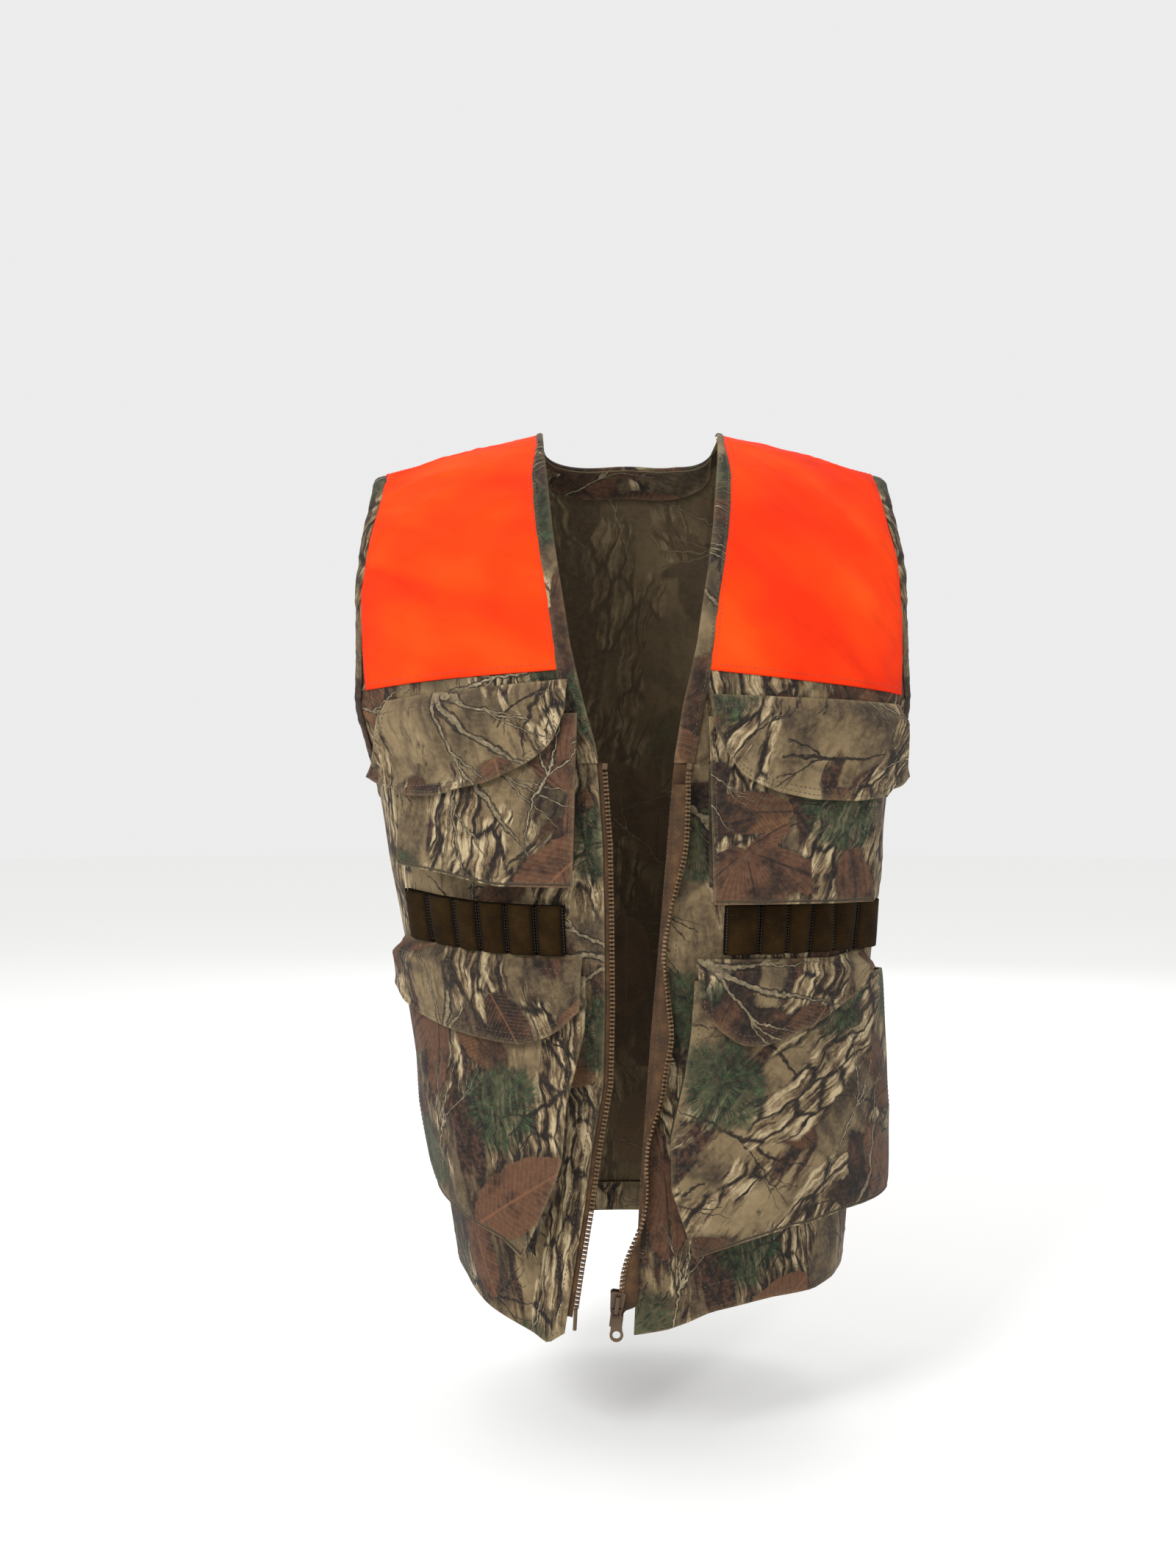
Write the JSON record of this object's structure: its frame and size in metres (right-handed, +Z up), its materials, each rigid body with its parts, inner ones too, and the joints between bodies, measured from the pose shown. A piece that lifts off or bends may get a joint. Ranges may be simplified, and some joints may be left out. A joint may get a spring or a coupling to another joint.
{
  "type": "hunting vest",
  "caption": "Open-front camouflage field vest with blaze shoulder patches, flapped box pockets, elastic shell loops and a separating zip, shown as worn.",
  "frame": {"origin": "midway between the two neck points of the shoulder seams, on the line of the shoulder seams", "axes": "-Y is the wearer's front, +X is the wearer's left, +Z is up"},
  "size_m": [0.3838, 0.2542, 0.624],
  "materials": {
    "camo_cloth": "matt printed twill",
    "camo_trim": "matt printed twill",
    "blaze_cloth": "fluorescent plain weave",
    "elastic": "ribbed elastic webbing",
    "hook_and_loop": "hook and loop tape",
    "zip_tape": "woven tape",
    "zip_teeth": "moulded",
    "zip_metal": "semi-gloss enamel"
  },
  "bodies": {
    "back": {"back_panel": "camo_cloth", "back_yoke": "blaze_cloth", "back_neck_facing": "camo_trim", "back_hem": "camo_trim", "right_back_armhole_binding": "camo_trim", "left_back_armhole_binding": "camo_trim"},
    "right_chest_flap": {"right_chest_flap": "camo_cloth", "right_chest_flap_hook": "hook_and_loop"},
    "right_lower_flap": {"right_lower_flap": "camo_cloth", "right_lower_flap_hook": "hook_and_loop"},
    "left_chest_flap": {"left_chest_flap": "camo_cloth", "left_chest_flap_hook": "hook_and_loop"},
    "left_lower_flap": {"left_lower_flap": "camo_cloth", "left_lower_flap_hook": "hook_and_loop"},
    "right_front": {"right_front_panel": "camo_cloth", "right_shoulder_patch": "blaze_cloth", "right_front_facing": "camo_trim", "right_front_armhole_binding": "camo_trim", "right_front_hem": "camo_trim", "right_chest_pocket": "camo_cloth", "right_chest_pocket_gusset": "camo_trim", "right_chest_pocket_loop": "hook_and_loop", "right_shell_loops": "elastic", "right_lower_pocket": "camo_cloth", "right_lower_pocket_gusset": "camo_trim", "right_lower_pocket_loop": "hook_and_loop", "right_zip_tape": "zip_tape", "right_zip_teeth": "zip_teeth", "right_zip_top_stop": "zip_teeth", "zip_pin": "zip_teeth"},
    "left_front": {"left_front_panel": "camo_cloth", "left_shoulder_patch": "blaze_cloth", "left_front_facing": "camo_trim", "left_front_armhole_binding": "camo_trim", "left_front_hem": "camo_trim", "left_chest_pocket": "camo_cloth", "left_chest_pocket_gusset": "camo_trim", "left_chest_pocket_loop": "hook_and_loop", "left_shell_loops": "elastic", "left_lower_pocket": "camo_cloth", "left_lower_pocket_gusset": "camo_trim", "left_lower_pocket_loop": "hook_and_loop", "left_zip_tape": "zip_tape", "left_zip_teeth": "zip_teeth", "left_zip_top_stop": "zip_teeth", "zip_box": "zip_teeth"},
    "slider": {"zip_slider": "zip_metal"},
    "pull": {"zip_pull": "zip_metal"}
  },
  "joints": [
    {"name": "right_front_swing", "type": "hinge", "parent": "back", "child": "right_front", "pos_m": [-0.18, 0, -0.255], "axis": [0.1666, 0, -0.986], "range_deg": [0, 70]},
    {"name": "left_front_swing", "type": "hinge", "parent": "back", "child": "left_front", "pos_m": [0.186, 0, -0.255], "axis": [0.0953, 0, 0.9954], "range_deg": [0, 70]},
    {"name": "right_chest_flap_hinge", "type": "hinge", "parent": "right_front", "child": "right_chest_flap", "pos_m": [-0.12179, -0.1199, -0.20016], "axis": [-0.9485, 0.2967, -0.1112], "range_deg": [0, 120]},
    {"name": "right_lower_flap_hinge", "type": "hinge", "parent": "right_front", "child": "right_lower_flap", "pos_m": [-0.11769, -0.10779, -0.37186], "axis": [-0.8397, 0.5413, 0.0427], "range_deg": [0, 120]},
    {"name": "left_chest_flap_hinge", "type": "hinge", "parent": "left_front", "child": "left_chest_flap", "pos_m": [0.13138, -0.11635, -0.20546], "axis": [-0.9337, -0.355, 0.0473], "range_deg": [0, 120]},
    {"name": "left_lower_flap_hinge", "type": "hinge", "parent": "left_front", "child": "left_lower_flap", "pos_m": [0.11644, -0.11362, -0.37835], "axis": [-0.8977, -0.4405, -0.0081], "range_deg": [0, 120]},
    {"name": "zip_slide", "type": "slide", "parent": "left_front", "child": "slider", "axis": [0.1276, 0, 0.9918], "range_m": [0, 0.342]},
    {"name": "zip_pull_swing", "type": "hinge", "parent": "slider", "child": "pull", "pos_m": [-0.0115, -0.13225, -0.59494], "axis": [-1, 0, 0], "range_deg": [0, 120]}
  ]
}
